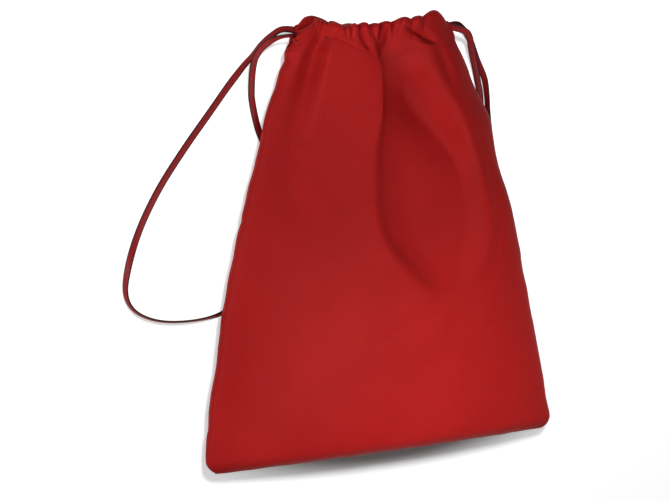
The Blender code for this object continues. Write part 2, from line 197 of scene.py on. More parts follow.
# Big folds of the front, section by section from the mouth down. Each section: distance from the bottom seam,
# then (x, depth) where it meets the folds' lines: left flap, left valley, left ridge, flat, lip of the pleat,
# foot of the pleat, floor of the pocket, valley of the pocket, right ridge.
SECTIONS = (
    (0.264, (-0.054, 0.0), (-0.044, 0.0024), (-0.04, 0.0), (-0.03, 0.0), (-0.0122, 0.0),
     (-0.0105, 0.0016), (-0.007, 0.0012), (0.0, 0.0), (0.014, 0.0)),
    (0.25, (-0.056, 0.0), (-0.0452, 0.0062), (-0.0404, -0.0002), (-0.03, 0.0), (-0.0125, 0.0),
     (-0.0106, 0.0042), (-0.007, 0.0036), (0.0, 0.0012), (0.016, 0.0)),
    (0.24, (-0.0612, 0.0), (-0.0478, 0.0094), (-0.0426, -0.0006), (-0.03, 0.0), (-0.0122, -0.0004),
     (-0.0094, 0.007), (-0.005, 0.0064), (0.0025, 0.0042), (0.024, -0.0004)),
    (0.23, (-0.0652, 0.0), (-0.0506, 0.0098), (-0.0448, -0.0006), (-0.03, 0.0), (-0.0112, -0.0008),
     (-0.0078, 0.008), (-0.0025, 0.008), (0.0045, 0.0074), (0.03, -0.001)),
    (0.22, (-0.0684, 0.0), (-0.054, 0.0074), (-0.0468, -0.0004), (-0.03, 0.0), (-0.0108, -0.001),
     (-0.0068, 0.0098), (0.0, 0.0112), (0.0075, 0.0124), (0.0345, -0.0014)),
    (0.21, (-0.0712, 0.0002), (-0.058, 0.0052), (-0.0488, -0.0002), (-0.031, 0.0), (-0.0113, -0.001),
     (-0.006, 0.009), (0.002, 0.0106), (0.012, 0.0134), (0.04, -0.0016)),
    (0.2, (-0.0745, 0.0004), (-0.0622, 0.0038), (-0.0516, 0.0), (-0.032, 0.0), (-0.013, -0.0008),
     (-0.006, 0.0074), (0.005, 0.0092), (0.0205, 0.013), (0.045, -0.0016)),
    (0.188, (-0.078, 0.0), (-0.066, 0.0026), (-0.054, 0.0), (-0.034, 0.0), (-0.0162, -0.0006),
     (-0.007, 0.0064), (0.008, 0.0084), (0.031, 0.0114), (0.0505, -0.0014)),
    (0.175, (-0.081, 0.0), (-0.0662, 0.003), (-0.05, 0.0), (-0.036, 0.0), (-0.0172, -0.0004),
     (-0.0075, 0.0062), (0.0085, 0.0084), (0.039, 0.0088), (0.0565, -0.001)),
    (0.16, (-0.084, 0.0), (-0.065, 0.0028), (-0.047, 0.0), (-0.036, 0.0), (-0.0174, -0.0004),
     (-0.007, 0.0062), (0.009, 0.0086), (0.043, 0.0068), (0.0618, -0.0006)),
    (0.145, (-0.086, 0.0), (-0.064, 0.0012), (-0.045, 0.0), (-0.034, 0.0), (-0.0164, -0.0004),
     (-0.006, 0.0062), (0.011, 0.0086), (0.044, 0.006), (0.0652, -0.0002)),
    (0.132, (-0.088, 0.0), (-0.064, 0.0002), (-0.044, 0.0), (-0.03, 0.0), (-0.0124, -0.0004),
     (-0.001, 0.0062), (0.014, 0.0084), (0.044, 0.006), (0.0662, 0.0)),
    (0.121, (-0.09, 0.0), (-0.064, 0.0), (-0.043, 0.0), (-0.026, 0.0), (-0.005, -0.0004),
     (0.008, 0.0058), (0.019, 0.0076), (0.043, 0.006), (0.0642, 0.0)),
    (0.111, (-0.09, 0.0), (-0.064, 0.0), (-0.042, 0.0), (-0.022, 0.0), (0.004, -0.0004),
     (0.0165, 0.0046), (0.025, 0.0056), (0.04, 0.005), (0.059, 0.0)),
    (0.103, (-0.09, 0.0), (-0.064, 0.0), (-0.041, 0.0), (-0.018, 0.0), (0.012, -0.0004),
     (0.023, 0.002), (0.029, 0.0026), (0.036, 0.0026), (0.051, -0.0002)),
    (0.096, (-0.09, 0.0), (-0.064, 0.0), (-0.04, 0.0), (-0.014, -0.0002), (0.018, -0.0008),
     (0.0262, -0.0004), (0.029, -0.0004), (0.032, -0.0004), (0.043, -0.0006)),
    (0.08, (-0.09, 0.0), (-0.064, 0.0), (-0.04, -0.0002), (-0.014, -0.0008), (0.018, -0.0012),
     (0.0262, -0.0012), (0.029, -0.0012), (0.032, -0.001), (0.043, -0.0006)),
    (0.05, (-0.09, 0.0), (-0.064, 0.0), (-0.04, 0.0), (-0.014, 0.0), (0.018, 0.0),
     (0.0262, 0.0), (0.029, 0.0), (0.032, 0.0), (0.043, 0.0)),
)

# Creases of the front: points (x, distance from the bottom seam), depth and half-widths on the right and
# left hand at each point, and how sharp the bottom is (1 sharp, 2 round)
CREASES = (
    # folds that run out from the gathers, from left to right
    (((-0.0422, 0.259), (-0.0436, 0.2555), (-0.0442, 0.2526)), (0.002, 0.0016, 0.0004),
     (0.0011, 0.0013, 0.0016), (0.0011, 0.0013, 0.0016), 1.3),
    (((-0.0343, 0.2531), (-0.039, 0.2511), (-0.0429, 0.2487), (-0.045, 0.2466)), (0.0004, 0.0014, 0.0014, 0.0004),
     (0.0012, 0.0014, 0.0016, 0.0016), (0.0016, 0.002, 0.0022, 0.002), 1.4),
    (((-0.0398, 0.256), (-0.0412, 0.253)), (0.0012, 0.0003), (0.0008, 0.001), (0.0008, 0.001), 1.3),
    (((-0.0316, 0.2562), (-0.0305, 0.2537), (-0.0296, 0.2514)), (0.0017, 0.0017, 0.0004),
     (0.0008, 0.001, 0.0012), (0.0008, 0.001, 0.0012), 1.3),
    (((-0.0246, 0.2575), (-0.0242, 0.2526), (-0.0225, 0.249), (-0.0197, 0.2446), (-0.0181, 0.2414)),
     (0.002, 0.0026, 0.0038, 0.0032, 0.0006),
     (0.001, 0.0012, 0.0014, 0.0014, 0.0016), (0.0012, 0.0016, 0.0022, 0.0022, 0.0024), 1.4),
    (((-0.0174, 0.2575), (-0.0165, 0.2524), (-0.0145, 0.2481), (-0.0133, 0.2445), (-0.0127, 0.2402)),
     (0.0023, 0.002, 0.0017, 0.0014, 0.0004),
     (0.0009, 0.001, 0.0011, 0.0012, 0.0012), (0.001, 0.0011, 0.0012, 0.0012, 0.0012), 1.3),
    (((-0.0106, 0.257), (-0.0112, 0.2509), (-0.0118, 0.2452), (-0.0114, 0.2408), (-0.0108, 0.2365)),
     (0.0032, 0.0038, 0.0035, 0.0029, 0.0014),
     (0.0011, 0.0013, 0.0014, 0.0015, 0.0016), (0.0011, 0.0013, 0.0014, 0.0015, 0.0016), 1.3),
    (((-0.0065, 0.2535), (-0.0068, 0.25), (-0.0078, 0.245), (-0.0088, 0.2415)), (0.0009, 0.0035, 0.0035, 0.0012),
     (0.0016, 0.0022, 0.0024, 0.002), (0.0009, 0.001, 0.0011, 0.0012), 1.4),
    (((-0.003, 0.259), (-0.0021, 0.2543), (-0.0019, 0.2515)), (0.0029, 0.002, 0.0004),
     (0.0009, 0.001, 0.0012), (0.0009, 0.001, 0.0012), 1.3),
    (((0.0019, 0.2571), (0.0003, 0.2542), (-0.0007, 0.2518)), (0.0013, 0.0014, 0.0003),
     (0.0009, 0.001, 0.001), (0.0009, 0.001, 0.001), 1.3),
    (((0.003, 0.2548), (0.0088, 0.2526), (0.0138, 0.2504), (0.0187, 0.2474), (0.025, 0.2449)),
     (0.0007, 0.0023, 0.0038, 0.0038, 0.0007),
     (0.0014, 0.0016, 0.0016, 0.0018, 0.002), (0.0016, 0.0022, 0.0028, 0.0028, 0.0026), 1.5),
    (((0.01, 0.2462), (0.0188, 0.2432), (0.0262, 0.2432)), (-0.0003, -0.0012, -0.0003),
     (0.0016, 0.0016, 0.0016), (0.0016, 0.0016, 0.0016), 2.0),
    # the valley between the right part and the right edge
    (((0.025, 0.244), (0.0285, 0.237), (0.0325, 0.228), (0.037, 0.218)), (0.0006, 0.002, 0.0022, 0.0006),
     (0.0036, 0.004, 0.0044, 0.0044), (0.0036, 0.004, 0.0044, 0.0044), 2.0),
    # the soft edge around the right of the pocket
    (((0.053, 0.1876), (0.0612, 0.1734), (0.0665, 0.1592), (0.0695, 0.1451), (0.0702, 0.1309), (0.0665, 0.115),
      (0.056, 0.104), (0.041, 0.0945)), (0.0004, 0.0009, 0.0012, 0.0012, 0.0012, 0.001, 0.0006, 0.0002),
     (0.004,) * 8, (0.004,) * 8, 2.0),
    # a soft dent of the body
    (((-0.016, 0.075), (0.01, 0.079)), (0.0006, 0.0006), (0.005, 0.005), (0.005, 0.005), 2.0),
    # the line where a lace presses through
    (((-0.0803, 0.1933), (-0.0767, 0.1891), (-0.0713, 0.186), (-0.0652, 0.1854), (-0.0597, 0.1872),
      (-0.0554, 0.1909), (-0.0517, 0.1964), (-0.0486, 0.2031), (-0.0467, 0.211)),
     (-0.0004, -0.0006, -0.0006, -0.0006, -0.0006, -0.0005, -0.0004, -0.0003, -0.0001),
     (0.0012,) * 9, (0.0012,) * 9, 2.0),
)
# Towards the bottom seam, they fade out over this height
CREASE_FADE = 0.02
# The folds end this far past the left edge, start this far inside it, and end this far past the right edge
FOLD_ENDS = (0.01, 0.001, 0.004)

# Stitches that close the front casing: x, distance from the bottom seam
STITCH_POINTS = (
    (-0.07, 0.252), (-0.0396, 0.2488), (-0.0316, 0.2458), (-0.0241, 0.2423), (-0.016, 0.2384),
    (-0.0128, 0.2369), (-0.0084, 0.2345), (-0.0001, 0.2377), (0.0095, 0.2405), (0.0204, 0.2423),
    (0.0308, 0.2438), (0.05, 0.2445),
)
STITCH_LEVEL = 0.95
STITCH_GROOVE = 0.00024
STITCH_WIDTH = 0.0007
# Left of this place, the left flap covers the groove
GROOVE_FROM = -0.044
GROOVE_SPAN = 0.010

# How far the corners of these lines are rounded
SMOOTHING_REACH = 0.0015
SMOOTHING_STEPS = 7

# Fold along the top of each casing: x, distance from the bottom seam
TOP_POINTS = (
    (-0.061, 0.2522), (-0.056, 0.2524), (-0.052, 0.254), (-0.0496, 0.2578), (-0.0478, 0.2596), (-0.046, 0.2588),
    (-0.0435, 0.2574), (-0.039, 0.2569), (-0.0345, 0.256), (-0.031, 0.2554), (-0.0271, 0.2562), (-0.0205, 0.2567),
    (-0.0138, 0.256), (-0.0066, 0.2569), (0.0, 0.2582), (0.005, 0.2596), (0.009, 0.2594), (0.013, 0.2596),
    (0.018, 0.2612), (0.023, 0.2629), (0.0268, 0.2626), (0.031, 0.26), (0.035, 0.2568), (0.04, 0.2532),
)
BACK_TOP_POINTS = (
    (-0.061, 0.252), (-0.0556, 0.2556), (-0.0542, 0.2578), (-0.0515, 0.2597), (-0.047, 0.2604), (-0.04, 0.259),
    (-0.03, 0.256), (-0.01, 0.2545), (0.01, 0.256), (0.025, 0.2586), (0.031, 0.258), (0.034, 0.2566),
    (0.037, 0.254), (0.04, 0.252),
)

# How far the sides of the pouch stray from their smooth lines: distance from the bottom seam, shift to the right
LEFT_STRAY = (
    (0.0, 0.0), (0.0109, -0.0007), (0.0216, -0.0007), (0.0269, 0.0), (0.0375, -0.001), (0.048, -0.0005),
    (0.0532, 0.0001), (0.0584, 0.0006), (0.0636, 0.0007), (0.0741, 0.0001), (0.0793, 0.0004), (0.085, 0.0008),
    (0.095, 0.0008), (0.1, 0.0006), (0.1051, 0.0), (0.1102, -0.0004), (0.1205, 0.0), (0.1256, -0.0004),
    (0.1307, -0.0011), (0.1358, -0.0008), (0.1408, 0.0001), (0.1458, 0.0013), (0.151, 0.0004), (0.1711, 0.0005),
    (0.1762, 0.0001), (0.1812, -0.0007), (0.1862, -0.0007), (0.1912, -0.0003), (0.1964, 0.0), (0.2163, 0.0),
    (0.2212, 0.0005), (0.2262, 0.0), (0.2312, -0.0001), (0.2361, 0.0012), (0.2411, -0.0003), (0.2461, 0.001),
    (0.254, 0.0),
)
RIGHT_STRAY = (
    (0.0093, 0.0), (0.0154, -0.0011), (0.0216, -0.0019), (0.0336, -0.0021), (0.0396, -0.0026), (0.0576, -0.0032),
    (0.0635, -0.0032), (0.0694, -0.0028), (0.0812, -0.003), (0.0871, -0.0028), (0.0929, -0.0022), (0.1046, -0.0026),
    (0.1103, -0.0022), (0.116, -0.0012), (0.1275, -0.0005), (0.1389, 0.0001), (0.1446, 0.0005), (0.1559, 0.0007),
    (0.1616, 0.0003), (0.17, 0.0), (0.195, -0.0003), (0.2003, -0.0006), (0.2114, -0.0016), (0.2168, -0.0016),
    (0.2222, -0.001), (0.2276, 0.0), (0.2383, 0.0008), (0.2437, 0.0007), (0.254, 0.0),
)
STRAY_REACH = 0.020

# Puckers of the seams (height, reach) and waves of the pouch's outline
BOTTOM_PUCKER = (0.00016, 0.007)
SIDE_PUCKER = (0.00035, 0.006)
PUCKER_FADE = 0.004
SIDE_WAVE = {LEFT: 0.0011, RIGHT: 0.0004}
SIDE_WAVE_PACE = 0.35
SIDE_WAVE_FROM = (0.015, 0.05)
SIDE_WAVE_TO = (0.246, 0.01)
BOTTOM_WAVE = (0.00022, 0.006)
BOTTOM_WAVE_PACE = 0.6

# Free loops of the laces, close to the CAD model's: x, distance from the bottom seam, height
LACE_FLAT = 0.0008
LEFT_LOOP = (
    (-0.065, 0.2536, 0.0056), (-0.0712, 0.2502, 0.0043), (-0.0759, 0.2458, 0.0026),
    (-0.0812, 0.2395, 0.0011), (-0.089, 0.2313, LACE_FLAT), (-0.1059, 0.2096, LACE_FLAT),
    (-0.1227, 0.188, LACE_FLAT), (-0.1377, 0.1665, LACE_FLAT), (-0.1492, 0.1448, LACE_FLAT),
    (-0.1566, 0.1239, LACE_FLAT), (-0.1584, 0.1087, LACE_FLAT), (-0.1527, 0.0984, LACE_FLAT),
    (-0.1388, 0.0919, LACE_FLAT), (-0.1193, 0.0903, LACE_FLAT), (-0.1017, 0.093, LACE_FLAT),
    (-0.09, 0.101, LACE_FLAT), (-0.0815, 0.117, LACE_FLAT), (-0.076, 0.14, LACE_FLAT),
    (-0.0715, 0.164, LACE_FLAT), (-0.073, 0.183, LACE_FLAT), (-0.0785, 0.1985, LACE_FLAT),
    (-0.0818, 0.2143, 0.0009), (-0.0822, 0.227, 0.0023), (-0.0812, 0.2356, 0.0032),
    (-0.0797, 0.24, 0.0044), (-0.0768, 0.2442, 0.006), (-0.072, 0.248, 0.0084),
    (-0.066, 0.2498, 0.0098), (-0.06, 0.2504, 0.0096), (-0.0545, 0.2514, 0.01),
)
RIGHT_LOOP = (
    (0.045, 0.2546, 0.0056), (0.0498, 0.2525, 0.0044), (0.0543, 0.2485, 0.0024),
    (0.0574, 0.244, 0.0011), (0.0597, 0.2385, LACE_FLAT), (0.062, 0.2328, LACE_FLAT), (0.065, 0.2268, LACE_FLAT),
    (0.0675, 0.2207, LACE_FLAT), (0.069, 0.2116, LACE_FLAT), (0.0698, 0.2025, LACE_FLAT),
    (0.0712, 0.192, LACE_FLAT), (0.0732, 0.181, LACE_FLAT), (0.0768, 0.162, LACE_FLAT),
    (0.0805, 0.14, LACE_FLAT), (0.085, 0.112, LACE_FLAT), (0.089, 0.084, LACE_FLAT),
    (0.092, 0.058, LACE_FLAT), (0.0905, 0.044, LACE_FLAT), (0.084, 0.0375, LACE_FLAT),
    (0.077, 0.044, LACE_FLAT), (0.075, 0.058, LACE_FLAT), (0.073, 0.086, LACE_FLAT),
    (0.07, 0.118, LACE_FLAT), (0.067, 0.15, LACE_FLAT), (0.066, 0.178, LACE_FLAT),
    (0.0668, 0.196, LACE_FLAT), (0.0655, 0.2065, LACE_FLAT), (0.0645, 0.2136, 0.001),
    (0.0626, 0.2209, 0.0017), (0.0604, 0.2281, 0.0027), (0.0582, 0.2341, 0.0038),
    (0.0556, 0.2407, 0.0058), (0.053, 0.2468, 0.0086), (0.048, 0.2508, 0.0112),
)

# How far below the top fold each lace runs, at the left and at the right
LEFT_LANES = (0.0046, 0.0082)
RIGHT_LANES = (0.0092, 0.0036)
# Where a loop leaves the back casing and its held run meets it there, as shares of the half width
LOOP_START = 0.97
RUN_END = 0.955
RUN_OVERLAP = 0.02
RUN_POINTS = 64
# Share of the half width over which a lace changes from its left lane to its right one
LANE_CHANGE = 0.8
# Round the far end: share of the way from front to back, and how far out
TURN_POINTS = ((0.15, 0.7), (0.5, 1.0), (0.85, 0.7))
# A loop's points below this height lie on the floor, with this gap
LACE_LOW = 0.0012
FLOOR_GAP = 0.0001
# Where a lace rises more steeply than this, its width lies along Y
STEEP = 0.5

# Name, loop, side, lanes, where the loop comes back out of the front casing, and the stretches that lean on edge:
# middle and half width as shares of the loop, and the lean in radians
LACES = (
    ("left", LEFT_LOOP, LEFT, LEFT_LANES, 0.78,
     ((0.060, 0.050, 1.0), (0.47, 0.10, 1.25), (0.968, 0.028, 1.1))),
    ("right", RIGHT_LOOP, RIGHT, RIGHT_LANES, 0.97,
     ((0.050, 0.040, 0.8), (0.18, 0.09, 1.25), (0.930, 0.060, -0.55))),
)


def shift(x, y, z=0.0):
    """A point from its distance to the bottom seam."""
    return Vector((x, y - LENGTH / 2, z))


def mix(a, b, share):
    return a + (b - a) * share


def smoothstep(value):
    value = np.clip(value, 0.0, 1.0)
    return value * value * (3 - 2 * value)


def make_camera():
    """The photo's view: from the left of the pouch, a little towards its mouth."""
    turn, dip = CAMERA_TURN, CAMERA_DIP
    forward = Vector((math.sin(turn) * math.cos(dip), -math.sin(dip), -math.cos(turn) * math.cos(dip)))
    right = Vector((math.cos(turn), 0.0, math.sin(turn)))
    up = right.cross(forward)
    data = bpy.data.cameras.new("camera")
    data.lens = LENS
    camera = bpy.data.objects.new("camera", data)
    axes = Matrix((right, up, -forward)).transposed().to_4x4()
    camera.matrix_world = Matrix.Translation(shift(*CAMERA_PLACE)) @ axes
    bpy.context.scene.collection.objects.link(camera)
    bpy.context.scene.camera = camera


def add_piece(name, mesh, material):
    """A new piece that rides on the pouch."""
    piece = bpy.data.objects.new(name, mesh)
    bpy.context.scene.collection.objects.link(piece)
    mesh.materials.append(material)
    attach(piece, "root")
    return piece


# Materials


class Nodes:
    """Short names for building the node tree of a material or world."""

    def __init__(self, owner):
        owner.use_nodes = True
        self.tree = owner.node_tree

    def add(self, kind, **values):
        node = self.tree.nodes.new(kind)
        for key, value in values.items():
            setattr(node, key, value)
        return node

    def set(self, socket, value):
        """Links a socket to another, or gives it a value."""
        if isinstance(value, bpy.types.NodeSocket):
            self.tree.links.new(value, socket)
        else:
            socket.default_value = value

    def math(self, operation, *values):
        node = self.add("ShaderNodeMath", operation=operation)
        for socket, value in zip(node.inputs, values):
            self.set(socket, value)
        return node.outputs[0]

    def vector(self, operation, output, **values):
        node = self.add("ShaderNodeVectorMath", operation=operation)
        for key, value in values.items():
            self.set(node.inputs[{"first": 0, "second": 1, "scale": "Scale"}[key]], value)
        return node.outputs[output]

    def place(self):
        return self.add("ShaderNodeTexCoord").outputs["Object"]

    def split(self, vector):
        node = self.add("ShaderNodeSeparateXYZ")
        self.set(node.inputs[0], vector)
        return node.outputs["X"], node.outputs["Y"]

    def noise(self, vector, scale, detail=2.0, rough=0.5):
        node = self.add("ShaderNodeTexNoise")
        for name, value in (("Vector", vector), ("Scale", scale), ("Detail", detail), ("Roughness", rough)):
            self.set(node.inputs[name], value)
        return node.outputs["Fac"]

    def ramp(self, factor, stops):
        node = self.add("ShaderNodeValToRGB")
        for element, (position, colour) in zip(node.color_ramp.elements, stops):
            element.position = position
            element.color = (*colour, 1.0)
        self.set(node.inputs["Fac"], factor)
        return node.outputs["Color"]

    def mix(self, kind, factor, first, second):
        node = self.add("ShaderNodeMix", data_type="RGBA", blend_type=kind)
        for name, value in (("Factor", factor), ("A", first), ("B", second)):
            self.set(node.inputs[name], value)
        return node.outputs["Result"]

    def map_range(self, value, start, end, low, high, kind="LINEAR"):
        node = self.add("ShaderNodeMapRange", interpolation_type=kind)
        sockets = (("Value", value), ("From Min", start), ("From Max", end), ("To Min", low), ("To Max", high))
        for name, part in sockets:
            self.set(node.inputs[name], part)
        return node.outputs["Result"]

    def bump(self, height, strength, distance):
        node = self.add("ShaderNodeBump")
        for name, value in (("Height", height), ("Strength", strength), ("Distance", distance)):
            self.set(node.inputs[name], value)
        return node.outputs["Normal"]

    def seen(self):
        """1 for the rays of the camera, of gloss and through glass, which meet white; 0 for the others."""
        path = self.add("ShaderNodeLightPath")
        seen = self.math("MAXIMUM", path.outputs["Is Camera Ray"], path.outputs["Is Glossy Ray"])
        return self.math("MAXIMUM", seen, path.outputs["Is Transmission Ray"])

    def finish(self, kind, **values):
        """Sets the shader's sockets; an underscore in a name stands for a space."""
        shader = self.tree.nodes[kind]
        for name, value in values.items():
            self.set(shader.inputs[name.replace("_", " ")], value)


def satin_material(name):
    """Red satin: fine diagonal twill, soft uneven gloss and a faint sheen, with painted shade right above the
    bottom seam.
    """
    material = bpy.data.materials.new(name)
    nodes = Nodes(material)
    place = nodes.place()
    x, y = nodes.split(place)
    along = nodes.math("ADD", x, nodes.math("MULTIPLY", y, TWILL_SLANT))
    rib = nodes.math("SINE", nodes.math("MULTIPLY", along, 2 * math.pi / TWILL_PITCH))
    crossing = nodes.math("SINE", nodes.math("MULTIPLY", y, 2 * math.pi / (TWILL_PITCH * CROSSING_SHARE)))
    weave = nodes.math("ADD", nodes.math("MULTIPLY", rib, 0.7), nodes.math("MULTIPLY", crossing, 0.3))
    patches = nodes.noise(place, CLOTH_PATCHES, 3.0)
    grain = nodes.noise(place, CLOTH_GRAIN)
    colour = nodes.ramp(patches, ((0.35, CLOTH_DEEP), (0.65, CLOTH_RED)))
    threads = nodes.math("ADD", nodes.math("MULTIPLY", weave, 0.25), grain)
    tint = nodes.ramp(threads, ((0.2, THREAD_DARK), (0.8, THREAD_LIGHT)))
    bottom = -LENGTH / 2
    # painted shade: the base colour darkens towards the bottom seam
    shade = nodes.map_range(y, bottom, bottom + SEAM_PAINTED_SHADE_HEIGHT, SEAM_PAINTED_SHADE, 1.0, "SMOOTHSTEP")
    height = nodes.math("ADD", weave, nodes.math("MULTIPLY", grain, 0.8))
    nodes.finish(
        "Principled BSDF",
        Base_Color=nodes.vector("SCALE", "Vector", first=nodes.mix("MULTIPLY", 1.0, colour, tint), scale=shade),
        Roughness=nodes.math("MULTIPLY_ADD", patches, *CLOTH_GLOSS),
        Normal=nodes.bump(height, *CLOTH_BUMP),
        IOR=CLOTH_IOR,
        Sheen_Weight=CLOTH_SHEEN_WEIGHT,
        Sheen_Roughness=CLOTH_SHEEN_ROUGHNESS,
        Sheen_Tint=CLOTH_SHEEN,
    )
    return material


def lace_material(name):
    """Red leather lace with dark painted edges, from the lace's own width coordinate."""
    material = bpy.data.materials.new(name)
    nodes = Nodes(material)
    across, _ = nodes.split(nodes.add("ShaderNodeUVMap", uv_map="lace").outputs["UV"])
    place = nodes.place()
    grain = nodes.noise(place, LACE_GRAIN, 3.0, 0.6)
    face = nodes.ramp(nodes.noise(place, LACE_BLOTCHES), ((0.3, LACE_DEEP), (0.7, LACE_RED)))
    off = nodes.math("ABSOLUTE", nodes.math("SUBTRACT", across, 0.5))
    edge = nodes.math("ADD", off, nodes.math("MULTIPLY", nodes.math("SUBTRACT", grain, 0.5), 0.05))
    past = nodes.math("MAXIMUM", nodes.math("SUBTRACT", edge, LACE_EDGE_FROM), 0.0)
    paint = nodes.math("SMOOTH_MIN", nodes.math("MULTIPLY", past, LACE_EDGE_RISE), 1.0, 0.1)
    nodes.finish(
        "Principled BSDF",
        Base_Color=nodes.mix("MIX", paint, face, (*LACE_EDGE, 1.0)),
        Roughness=nodes.math("MULTIPLY_ADD", grain, *LACE_GLOSS),
        Normal=nodes.bump(grain, *LACE_BUMP),
        IOR=LACE_IOR,
    )
    return material


# Shape of the pouch, shared by panels and laces


def side_reach(side, y):
    """Distance from the middle line to the left or right edge."""
    along = np.clip(y / LENGTH, 0.0, 1.0)
    taper = along ** SIDE_TAPER[side] - BULGE[side] * np.exp(-((along - BULGE_AT) / BULGE_SPREAD) ** 2)
    reach = mix(BOTTOM_WIDTH / 2, NECK_WIDTH / 2 + side * NECK_SHIFT, taper)
    pull, start, span = CASING_PULL[side]
    reach = reach - pull * smoothstep((y - start) / span)
    low = np.clip(CORNER_RADIUS - y, 0.0, CORNER_RADIUS)
    return reach - (CORNER_RADIUS - np.sqrt(CORNER_RADIUS ** 2 - low ** 2))


def place_across(u, y):
    return mix(-side_reach(LEFT, y), side_reach(RIGHT, y), (u + 1) / 2)


def neck_rise(panel, u):
    """Distance of the drawn neck's outer face from the seam plane."""
    middle = FRONT_NECK_RISE if panel == FRONT else SEAM_HEIGHT - BACK_NECK_LIFT
    return mix(NECK_END_RISE, middle, 1 - u ** 4)


def smooth_through(points, x):
    """A line through points of (x, y), with its corners rounded."""
    points = np.array(points)
    offsets = np.linspace(-SMOOTHING_REACH, SMOOTHING_REACH, SMOOTHING_STEPS)
    return sum(np.interp(x + offset, points[:, 0], points[:, 1]) for offset in offsets) / len(offsets)


def casing_depth(u):
    """Depth of the casings' tubes."""
    return mix(CASING_END_DEPTH, CASING_DEPTH, 1 - u ** 4)


def casing_top(panel, u):
    """Y of the fold along the top of a casing, without its ruffles."""
    return smooth_through(TOP_POINTS if panel == FRONT else BACK_TOP_POINTS, place_across(u, LENGTH))


def casing_line(panel, u):
    """Y of the line of stitches that closes a casing."""
    if panel == FRONT:
        return smooth_through(STITCH_POINTS, place_across(u, LENGTH * STITCH_LEVEL))
    top = LENGTH + (TOP_END_RISE * u * u - TOP_DIP) + BACK_LUMP * smoothstep(-u)
    return top - CASING_HEIGHT + CASING_END_LOSS * u * u


# Folds and creases


def crease_depth(x, y, crease):
    """How far one crease pushes the cloth in at each point; its first widths are on the right hand."""
    points, depths, rights, lefts, power = crease
    points = np.array(points)
    best = np.full(x.shape, 1e9)
    depth = np.zeros(x.shape)
    reach = np.ones(x.shape)
    for index in range(len(points) - 1):
        start, run = points[index], points[index + 1] - points[index]
        share = np.clip(((x - start[0]) * run[0] + (y - start[1]) * run[1]) / (run @ run), 0.0, 1.0)
        off_x = x - start[0] - share * run[0]
        off_y = y - start[1] - share * run[1]
        away = np.hypot(off_x, off_y)
        nearer = away < best
        right = mix(rights[index], rights[index + 1], share)
        left = mix(lefts[index], lefts[index + 1], share)
        side = smoothstep(0.5 + (run[0] * off_y - run[1] * off_x) / np.hypot(*run) / (right + left))
        best = np.where(nearer, away, best)
        depth = np.where(nearer, mix(depths[index], depths[index + 1], share), depth)
        reach = np.where(nearer, mix(right, left, side), reach)
    return depth * np.exp(-(best / reach) ** power)


def smooth_between(places, values, at):
    """Values at a place on smooth lines through known ones that never swing past them; knots on the last axis."""
    steps = np.diff(places, axis=-1)
    slopes = np.diff(values, axis=-1) / steps
    before, after = slopes[..., :-1], slopes[..., 1:]
    same = before * after > 0
    middle = np.where(same, 2 * before * after / np.where(same, before + after, 1.0), 0.0)
    ends = np.zeros_like(slopes[..., :1])
    tangents = np.concatenate([ends, middle, ends], axis=-1)
    index = np.clip(np.sum(places <= at[..., None], axis=-1) - 1, 0, places.shape[-1] - 2)[..., None]
    pick = np.take_along_axis
    start, width = pick(places, index, -1)[..., 0], pick(steps, index, -1)[..., 0]
    t = np.clip((at - start) / width, 0.0, 1.0)
    low, high = pick(values, index, -1)[..., 0], pick(values, index + 1, -1)[..., 0]
    leave, arrive = pick(tangents, index, -1)[..., 0], pick(tangents, index + 1, -1)[..., 0]
    return (
        low * (2 * t ** 3 - 3 * t ** 2 + 1) + high * (3 * t ** 2 - 2 * t ** 3)
        + width * (leave * (t ** 3 - 2 * t ** 2 + t) + arrive * (t ** 3 - t ** 2))
    )


def fold_depth(x, y):
    """Depth of the big folds, on smooth lines through the sections."""
    levels = np.array([section[0] for section in reversed(SECTIONS)])
    table = np.array([section[1:] for section in reversed(SECTIONS)])
    shape = x.shape
    x, y = x.ravel(), y.ravel()
    knots = []
    for line in range(table.shape[1]):
        for part in range(2):
            values = np.broadcast_to(table[:, line, part], (len(y), len(levels)))
            knots.append(smooth_between(np.broadcast_to(levels, values.shape), values, y))
    places = np.stack(knots[0::2], axis=-1)
    depths = np.stack(knots[1::2], axis=-1)
    left = -side_reach(LEFT, y)[:, None]
    right = side_reach(RIGHT, y)[:, None]
    past_left, inside, past_right = FOLD_ENDS
    places = np.maximum(places, left + inside)
    places = np.concatenate([left - past_left, places, right + past_right], axis=-1)
    places = np.maximum.accumulate(places + np.arange(places.shape[-1]) * 1e-7, axis=-1)
    level = np.zeros((len(y), 1))
    return smooth_between(places, np.concatenate([level, depths, level], axis=-1), x).reshape(shape)


def all_creases(x, y):
    return fold_depth(x, y) + sum(crease_depth(x, y, crease) for crease in CREASES)


def side_stray(side, y):
    """Shift to the right of a side's line."""
    left, right = np.array(LEFT_STRAY), np.array(RIGHT_STRAY)
    return np.where(side < 0, np.interp(y, *left.T), np.interp(y, *right.T))


def ripple(run, seed):
    """Uneven waves along a seam."""
    slow = np.sin(run / 0.0041 + seed + 1.2 * np.sin(run / 0.0130 + 2 * seed))
    quick = np.sin(run / 0.0017 + 3 * seed + 1.5 * np.sin(run / 0.0090 + seed))
    return 0.6 * slow + 0.4 * quick


# Cloth


def gather_lumps(x):
    """Rounded lumps between the gathers: 0 in a valley, 1 on top."""
    edges = np.array(GATHER_EDGES)
    place = np.interp(x, edges, np.arange(len(edges)))
    share = place - np.floor(np.clip(place, 0, len(edges) - 1.0001))
    return np.abs(np.sin(np.pi * share)) ** GATHER_ROUND


def stitch_groove(panel, u, away):
    """Depth of the groove that a casing's stitches draw; the front's fades out under the left flap."""
    depth = STITCH_GROOVE * np.exp(-(away / STITCH_WIDTH) ** 2)
    if panel == BACK:
        return depth
    return depth * smoothstep((place_across(u, LENGTH) - GROOVE_FROM) / GROOVE_SPAN)


